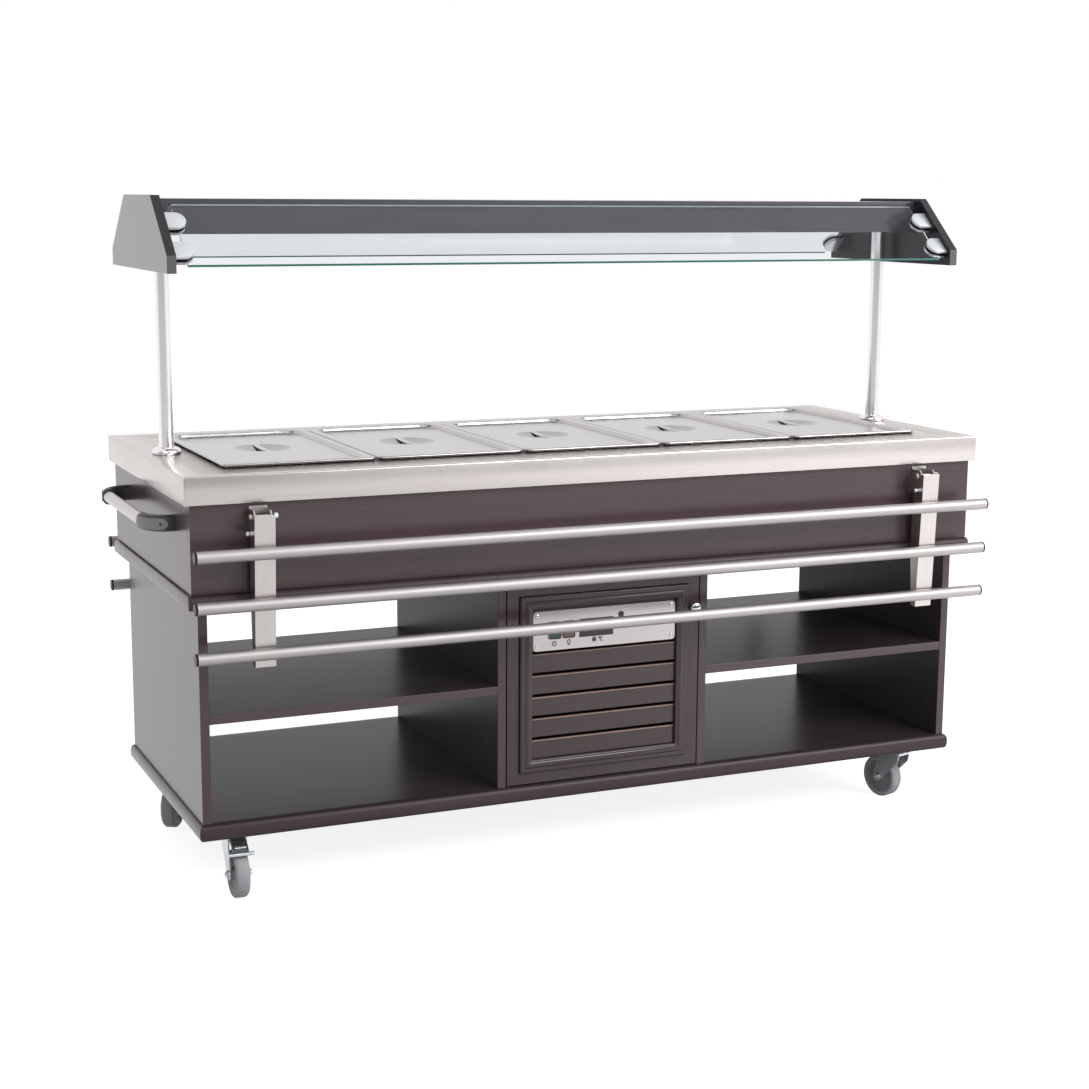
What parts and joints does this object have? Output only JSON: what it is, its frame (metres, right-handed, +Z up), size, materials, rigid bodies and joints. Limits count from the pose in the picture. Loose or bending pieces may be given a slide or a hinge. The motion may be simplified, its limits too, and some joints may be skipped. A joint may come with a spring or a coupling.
{
  "type": "buffet counter",
  "caption": "Mobile refrigerated buffet counter: dark laminate cabinet on castors, steel worktop with lidded pans, lit glass hood on posts, folding tray slides.",
  "frame": {"origin": "on the floor under the middle of the overall outline", "axes": "+X along the counter to the end away from the push handle, -Y the front with the door, +Z up"},
  "size_m": [1.904, 0.8472, 1.425],
  "materials": {
    "laminate": "dark wood-grain laminate, satin",
    "stainless": "brushed",
    "chrome": "polished",
    "zinc": "bright zinc plate",
    "glass": "clear",
    "gasket": "matt",
    "grey_plastic": "satin",
    "black_plastic": "gloss",
    "lamp_white": "white",
    "green_rocker": "lit, translucent",
    "amber_rocker": "lit, translucent",
    "tyre": "grey rubber",
    "foam": "foamed in place",
    "black_steel": "gloss black",
    "fins": "mill"
  },
  "bodies": {
    "cabinet": {"apron_boards": "laminate", "base_board": "laminate", "castor_plates": "zinc", "clamp_gaskets": "gasket", "compressor": "black_steel", "condenser": "fins", "deck_board": "laminate", "door_pivots": "zinc", "end_panels": "laminate", "glass_clamps": "chrome", "hood_cheeks": "laminate", "hood_glass": "glass", "hood_lamp": "lamp_white", "hood_lamp_box": "laminate", "machine_back_panel": "laminate", "pan_bars": "stainless", "partitions": "laminate", "posts": "stainless", "push_handle": "stainless", "shelves": "laminate", "tray_brackets": "stainless", "well_insulation": "foam", "well_liner": "stainless", "worktop": "stainless"},
    "door": {"door_panel": "laminate", "door_slats": "laminate", "control_plate": "stainless", "controller": "black_plastic", "door_knob": "chrome"},
    "rocker_power": {"rocker_power": "green_rocker"},
    "rocker_lamp": {"rocker_lamp": "amber_rocker"},
    "tray_front": {"tray_slide_front": "stainless", "tray_caps_front": "black_plastic"},
    "tray_rear": {"tray_slide_rear": "stainless", "tray_caps_rear": "black_plastic"},
    "fan": {"fan_rotor": "black_plastic"},
    "lock_pin_front_left": {"lock_pin_front_left": "chrome"},
    "castor_front_left": {"castor_fork_front_left": "zinc"},
    "wheel_front_left": {"castor_wheel_front_left": "tyre"},
    "lock_pin_front_right": {"lock_pin_front_right": "chrome"},
    "castor_front_right": {"castor_fork_front_right": "zinc"},
    "wheel_front_right": {"castor_wheel_front_right": "tyre"},
    "lock_pin_rear_left": {"lock_pin_rear_left": "chrome"},
    "castor_rear_left": {"castor_fork_rear_left": "zinc"},
    "wheel_rear_left": {"castor_wheel_rear_left": "tyre"},
    "lock_pin_rear_right": {"lock_pin_rear_right": "chrome"},
    "castor_rear_right": {"castor_fork_rear_right": "zinc"},
    "wheel_rear_right": {"castor_wheel_rear_right": "tyre"},
    "pedal_front_left": {"brake_pedal_front_left": "grey_plastic"},
    "pedal_front_right": {"brake_pedal_front_right": "grey_plastic"},
    "pan_1": {"pan_1": "stainless"},
    "lid_1": {"lid_1": "stainless"},
    "pan_2": {"pan_2": "stainless"},
    "lid_2": {"lid_2": "stainless"},
    "pan_3": {"pan_3": "stainless"},
    "lid_3": {"lid_3": "stainless"},
    "pan_4": {"pan_4": "stainless"},
    "lid_4": {"lid_4": "stainless"},
    "pan_5": {"pan_5": "stainless"},
    "lid_5": {"lid_5": "stainless"}
  },
  "joints": [
    {"name": "tray_front_fold", "type": "hinge", "parent": "cabinet", "child": "tray_front", "pos_m": [0.027, -0.378, 0.806], "axis": [-1, 0, 0], "range_deg": [0, 92]},
    {"name": "tray_rear_fold", "type": "hinge", "parent": "cabinet", "child": "tray_rear", "pos_m": [0.027, 0.378, 0.806], "axis": [1, 0, 0], "range_deg": [0, 92]},
    {"name": "door_hinge", "type": "hinge", "parent": "cabinet", "child": "door", "pos_m": [-0.1965, -0.3105, 0.397], "axis": [0, 0, -1], "range_deg": [0, 5]},
    {"name": "fan_spin", "type": "hinge", "parent": "cabinet", "child": "fan", "pos_m": [0.027, -0.193, 0.297], "axis": [0, 1, 0], "continuous": true},
    {"name": "rocker_power_rock", "type": "hinge", "parent": "door", "child": "rocker_power", "pos_m": [-0.0925, -0.3215, 0.51], "axis": [-1, 0, 0], "range_deg": [0, 16]},
    {"name": "rocker_lamp_rock", "type": "hinge", "parent": "door", "child": "rocker_lamp", "pos_m": [-0.0595, -0.3215, 0.51], "axis": [-1, 0, 0], "range_deg": [0, 16]},
    {"name": "lock_pin_front_left_pull", "type": "slide", "parent": "tray_front", "child": "lock_pin_front_left", "axis": [-1, 0, 0], "range_m": [0, 0.006], "stiffness_N_per_m": 500},
    {"name": "lock_pin_front_right_pull", "type": "slide", "parent": "tray_front", "child": "lock_pin_front_right", "axis": [-1, 0, 0], "range_m": [0, 0.006], "stiffness_N_per_m": 500},
    {"name": "lock_pin_rear_left_pull", "type": "slide", "parent": "tray_rear", "child": "lock_pin_rear_left", "axis": [-1, 0, 0], "range_m": [0, 0.006], "stiffness_N_per_m": 500},
    {"name": "lock_pin_rear_right_pull", "type": "slide", "parent": "tray_rear", "child": "lock_pin_rear_right", "axis": [-1, 0, 0], "range_m": [0, 0.006], "stiffness_N_per_m": 500},
    {"name": "pan_1_lift", "type": "slide", "parent": "cabinet", "child": "pan_1", "axis": [0, 0, 1], "range_m": [0, 0.22]},
    {"name": "lid_1_lift", "type": "slide", "parent": "pan_1", "child": "lid_1", "axis": [0, 0, 1], "range_m": [0, 0.15]},
    {"name": "pan_2_lift", "type": "slide", "parent": "cabinet", "child": "pan_2", "axis": [0, 0, 1], "range_m": [0, 0.22]},
    {"name": "lid_2_lift", "type": "slide", "parent": "pan_2", "child": "lid_2", "axis": [0, 0, 1], "range_m": [0, 0.15]},
    {"name": "pan_3_lift", "type": "slide", "parent": "cabinet", "child": "pan_3", "axis": [0, 0, 1], "range_m": [0, 0.22]},
    {"name": "lid_3_lift", "type": "slide", "parent": "pan_3", "child": "lid_3", "axis": [0, 0, 1], "range_m": [0, 0.15]},
    {"name": "pan_4_lift", "type": "slide", "parent": "cabinet", "child": "pan_4", "axis": [0, 0, 1], "range_m": [0, 0.22]},
    {"name": "lid_4_lift", "type": "slide", "parent": "pan_4", "child": "lid_4", "axis": [0, 0, 1], "range_m": [0, 0.15]},
    {"name": "pan_5_lift", "type": "slide", "parent": "cabinet", "child": "pan_5", "axis": [0, 0, 1], "range_m": [0, 0.22]},
    {"name": "lid_5_lift", "type": "slide", "parent": "pan_5", "child": "lid_5", "axis": [0, 0, 1], "range_m": [0, 0.15]},
    {"name": "castor_front_left_swivel", "type": "hinge", "parent": "cabinet", "child": "castor_front_left", "pos_m": [-0.787, -0.248, 0.118], "axis": [0, 0, 1], "continuous": true},
    {"name": "wheel_front_left_spin", "type": "hinge", "parent": "castor_front_left", "child": "wheel_front_left", "pos_m": [-0.7884, -0.28798, 0.05], "axis": [0.9994, -0.0349, 0], "continuous": true},
    {"name": "pedal_front_left_lift", "type": "hinge", "parent": "castor_front_left", "child": "pedal_front_left", "pos_m": [-0.78815, -0.28098, 0.123], "axis": [-0.9994, 0.0349, 0], "range_deg": [0, 14]},
    {"name": "castor_front_right_swivel", "type": "hinge", "parent": "cabinet", "child": "castor_front_right", "pos_m": [0.841, -0.248, 0.118], "axis": [0, 0, 1], "continuous": true},
    {"name": "wheel_front_right_spin", "type": "hinge", "parent": "castor_front_right", "child": "wheel_front_right", "pos_m": [0.83065, -0.20936, 0.05], "axis": [-0.9659, -0.2588, 0], "continuous": true},
    {"name": "pedal_front_right_lift", "type": "hinge", "parent": "castor_front_right", "child": "pedal_front_right", "pos_m": [0.83246, -0.21612, 0.123], "axis": [0.9659, 0.2588, 0], "range_deg": [0, 14]},
    {"name": "castor_rear_left_swivel", "type": "hinge", "parent": "cabinet", "child": "castor_rear_left", "pos_m": [-0.787, 0.248, 0.118], "axis": [0, 0, 1], "continuous": true},
    {"name": "wheel_rear_left_spin", "type": "hinge", "parent": "castor_rear_left", "child": "wheel_rear_left", "pos_m": [-0.807, 0.21336, 0.05], "axis": [0.866, -0.5, 0], "continuous": true},
    {"name": "castor_rear_right_swivel", "type": "hinge", "parent": "cabinet", "child": "castor_rear_right", "pos_m": [0.841, 0.248, 0.118], "axis": [0, 0, 1], "continuous": true},
    {"name": "wheel_rear_right_spin", "type": "hinge", "parent": "castor_rear_right", "child": "wheel_rear_right", "pos_m": [0.861, 0.28264, 0.05], "axis": [-0.866, 0.5, 0], "continuous": true}
  ]
}
